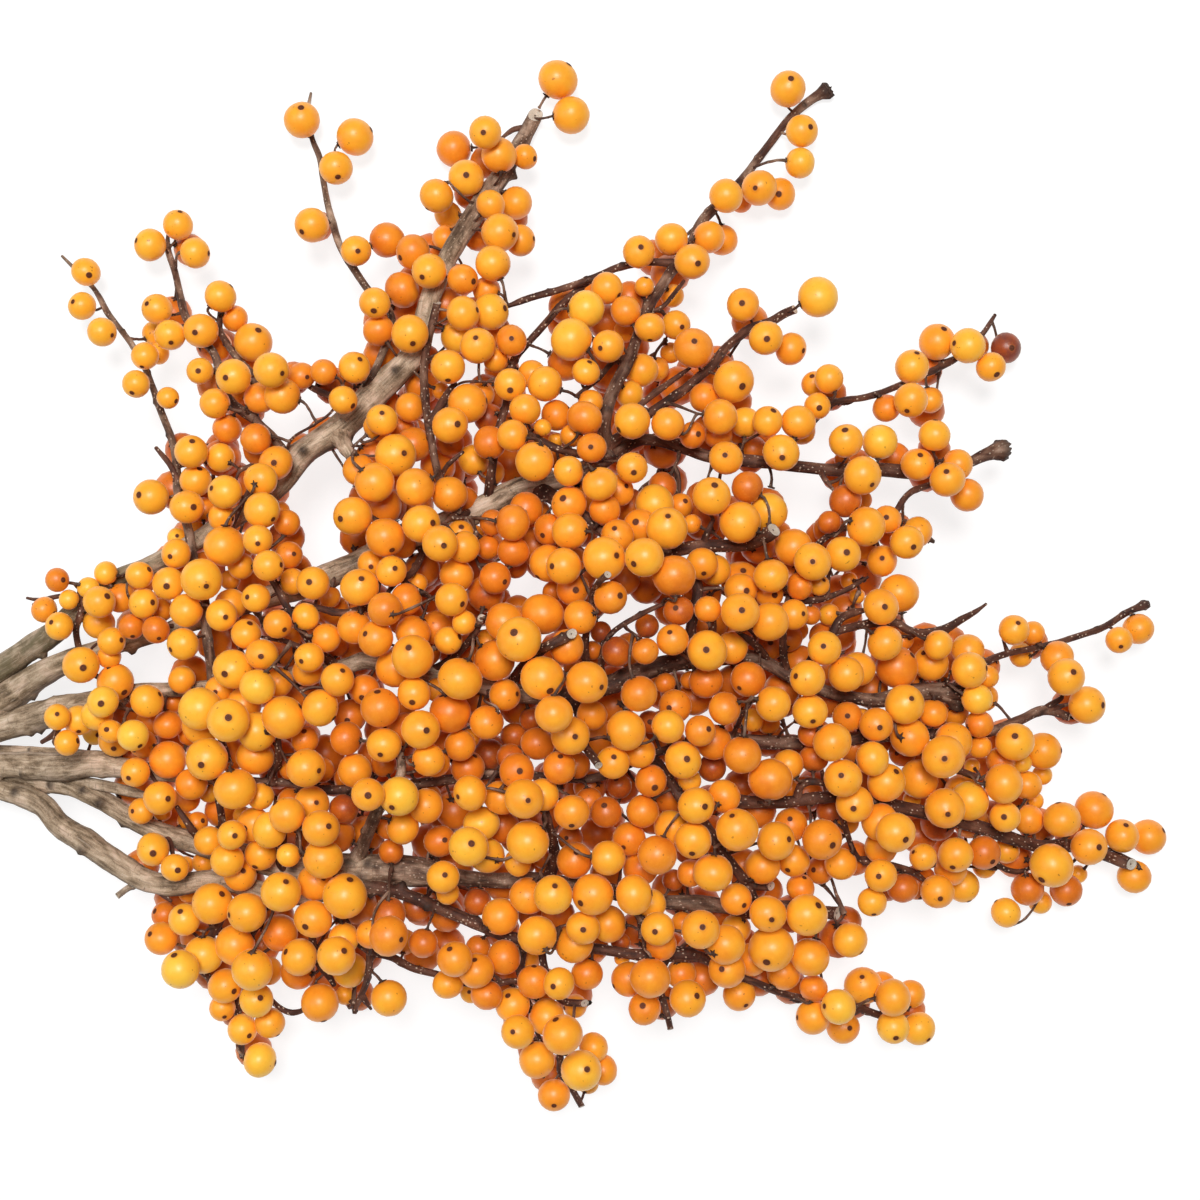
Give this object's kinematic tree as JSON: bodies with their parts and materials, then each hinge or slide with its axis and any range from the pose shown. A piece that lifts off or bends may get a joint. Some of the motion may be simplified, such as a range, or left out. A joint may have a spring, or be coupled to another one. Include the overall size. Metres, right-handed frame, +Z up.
{
  "type": "winterberry_sprig",
  "caption": "Cut winterberry sprig lying flat: a woody stem fans into grey-tan limbs and dark twigs crowded with golden orange berries",
  "frame": {"origin": "centre of the bounding box seen from above, on the surface the sprig lies on", "axes": "X runs along the sprig from the cut stem (-X) to the fruiting tips (+X), Y across it, Z up from the surface it lies on"},
  "size_m": [0.3968, 0.2726, 0.0821],
  "materials": {
    "grey_bark": "smooth grey-tan bark with wrinkles, lenticels and bud scars",
    "purple_twig": "purple-brown twig bark with pale lenticels",
    "berry_skin": "satin golden orange berry skin"
  },
  "bodies": {
    "root": {"main_stem": "grey_bark", "limb_a": "grey_bark", "limb_b": "grey_bark", "limb_c": "grey_bark", "limb_d": "grey_bark", "limb_e": "grey_bark", "limb_f": "grey_bark", "side_branch_01": "purple_twig", "side_branch_02": "purple_twig", "side_branch_03": "purple_twig", "side_branch_04": "purple_twig", "side_branch_05": "purple_twig", "side_branch_06": "purple_twig", "side_branch_07": "purple_twig", "side_branch_08": "purple_twig", "side_branch_09": "purple_twig", "side_branch_10": "purple_twig", "side_branch_11": "purple_twig", "side_branch_12": "purple_twig", "side_branch_13": "purple_twig", "side_branch_14": "purple_twig", "side_branch_15": "purple_twig", "side_branch_16": "purple_twig", "berry_cluster_01": "berry_skin", "berry_cluster_02": "berry_skin", "berry_cluster_03": "berry_skin", "berry_cluster_04": "berry_skin", "berry_cluster_05": "berry_skin", "berry_cluster_06": "berry_skin", "berry_cluster_07": "berry_skin", "berry_cluster_08": "berry_skin", "berry_cluster_09": "berry_skin", "berry_cluster_10": "berry_skin", "berry_cluster_11": "berry_skin", "berry_cluster_12": "berry_skin", "berry_cluster_13": "berry_skin", "berry_cluster_14": "berry_skin", "berry_cluster_15": "berry_skin", "berry_cluster_16": "berry_skin", "berry_cluster_17": "berry_skin", "berry_cluster_18": "berry_skin", "berry_cluster_19": "berry_skin", "berry_cluster_20": "berry_skin", "berry_cluster_21": "berry_skin", "berry_cluster_22": "berry_skin", "berry_cluster_23": "berry_skin", "berry_cluster_24": "berry_skin", "berry_cluster_25": "berry_skin", "berry_cluster_26": "berry_skin", "berry_cluster_27": "berry_skin", "berry_cluster_28": "berry_skin", "berry_cluster_29": "berry_skin", "berry_cluster_30": "berry_skin", "berry_cluster_31": "berry_skin", "berry_cluster_32": "berry_skin", "berry_cluster_33": "berry_skin", "berry_cluster_34": "berry_skin", "berry_cluster_35": "berry_skin"}
  },
  "joints": []
}
